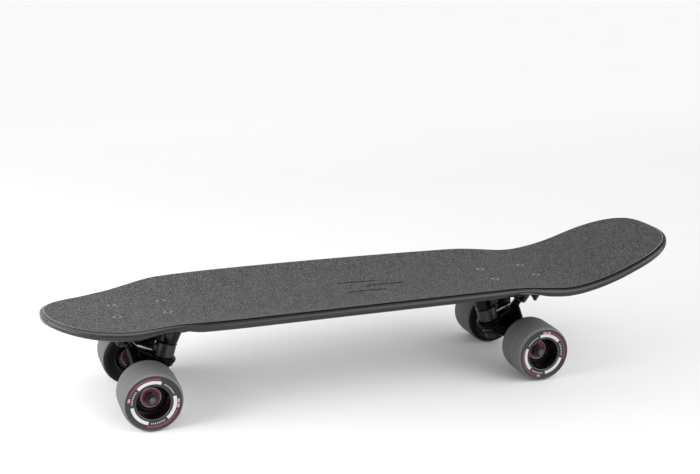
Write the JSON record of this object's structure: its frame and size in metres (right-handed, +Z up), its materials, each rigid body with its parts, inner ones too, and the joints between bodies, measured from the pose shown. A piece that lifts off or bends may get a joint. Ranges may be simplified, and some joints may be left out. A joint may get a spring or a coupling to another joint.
{
  "type": "cruiser skateboard",
  "caption": "Cruiser skateboard: concave kicktail deck with a grip top, kingpin trucks that steer on soft bushings, and free-spinning soft wheels.",
  "frame": {"origin": "on the floor under the middle of the board's overall length and width", "axes": "+X from the nose towards the kicktail, +Y to the rider's right when facing the nose, +Z up from the floor"},
  "size_m": [0.7426, 0.1916, 0.1505],
  "materials": {
    "grip": "abrasive grip sheet, dark grey",
    "deck": "dark grey satin lacquer over laminated maple",
    "truck": "cast, black powder coat",
    "steel": "plain steel",
    "nut_steel": "dark zinc-plated steel",
    "black_steel": "black oxide steel",
    "bushing": "black cast urethane",
    "tyre": "soft cast urethane, matte dark grey",
    "core": "moulded gloss black",
    "bearing": "steel rings with a crimson shield",
    "riser": "black pad",
    "cup": "black urethane"
  },
  "bodies": {
    "board": {"deck": "deck", "grip_tape": "grip", "front_riser_pad": "riser", "front_baseplate": "truck", "front_kingpin": "steel", "front_kingpin_nut": "black_steel", "front_upper_bushing": "bushing", "front_lower_bushing": "bushing", "front_upper_washer": "black_steel", "front_lower_washer": "black_steel", "front_pivot_cup": "cup", "front_deck_bolt_1": "black_steel", "front_deck_bolt_2": "black_steel", "front_deck_bolt_3": "black_steel", "front_deck_bolt_4": "black_steel", "front_deck_nut_1": "black_steel", "front_deck_nut_2": "black_steel", "front_deck_nut_3": "black_steel", "front_deck_nut_4": "black_steel", "rear_riser_pad": "riser", "rear_baseplate": "truck", "rear_kingpin": "steel", "rear_kingpin_nut": "black_steel", "rear_upper_bushing": "bushing", "rear_lower_bushing": "bushing", "rear_upper_washer": "black_steel", "rear_lower_washer": "black_steel", "rear_pivot_cup": "cup", "rear_deck_bolt_1": "black_steel", "rear_deck_bolt_2": "black_steel", "rear_deck_bolt_3": "black_steel", "rear_deck_bolt_4": "black_steel", "rear_deck_nut_1": "black_steel", "rear_deck_nut_2": "black_steel", "rear_deck_nut_3": "black_steel", "rear_deck_nut_4": "black_steel"},
    "front_hanger_body": {"front_hanger": "truck", "front_axle": "steel", "front_left_axle_nut": "nut_steel", "front_right_axle_nut": "nut_steel"},
    "rear_hanger_body": {"rear_hanger": "truck", "rear_axle": "steel", "rear_left_axle_nut": "nut_steel", "rear_right_axle_nut": "nut_steel"},
    "front_left_wheel": {"front_left_tyre": "tyre", "front_left_core": "core", "front_left_inner_bearing": "bearing", "front_left_outer_bearing": "bearing"},
    "front_right_wheel": {"front_right_tyre": "tyre", "front_right_core": "core", "front_right_inner_bearing": "bearing", "front_right_outer_bearing": "bearing"},
    "rear_left_wheel": {"rear_left_tyre": "tyre", "rear_left_core": "core", "rear_left_inner_bearing": "bearing", "rear_left_outer_bearing": "bearing"},
    "rear_right_wheel": {"rear_right_tyre": "tyre", "rear_right_core": "core", "rear_right_inner_bearing": "bearing", "rear_right_outer_bearing": "bearing"}
  },
  "joints": [
    {"name": "front_steer", "type": "hinge", "parent": "board", "child": "front_hanger_body", "pos_m": [-0.243, 0, 0.0459], "axis": [-0.8387, 0, 0.5446], "range_deg": [-12, 12], "stiffness_Nm_per_rad": 45, "deforming": ["front_upper_bushing", "front_lower_bushing"]},
    {"name": "rear_steer", "type": "hinge", "parent": "board", "child": "rear_hanger_body", "pos_m": [0.1544, 0, 0.0459], "axis": [0.8387, 0, 0.5446], "range_deg": [-12, 12], "stiffness_Nm_per_rad": 45, "deforming": ["rear_upper_bushing", "rear_lower_bushing"]},
    {"name": "front_left_wheel_spin", "type": "hinge", "parent": "front_hanger_body", "child": "front_left_wheel", "pos_m": [-0.2699, -0.0667, 0.0325], "axis": [0, 1, 0], "continuous": true},
    {"name": "front_right_wheel_spin", "type": "hinge", "parent": "front_hanger_body", "child": "front_right_wheel", "pos_m": [-0.2699, 0.0667, 0.0325], "axis": [0, 1, 0], "continuous": true},
    {"name": "rear_left_wheel_spin", "type": "hinge", "parent": "rear_hanger_body", "child": "rear_left_wheel", "pos_m": [0.1813, -0.0667, 0.0325], "axis": [0, 1, 0], "continuous": true},
    {"name": "rear_right_wheel_spin", "type": "hinge", "parent": "rear_hanger_body", "child": "rear_right_wheel", "pos_m": [0.1813, 0.0667, 0.0325], "axis": [0, 1, 0], "continuous": true}
  ]
}
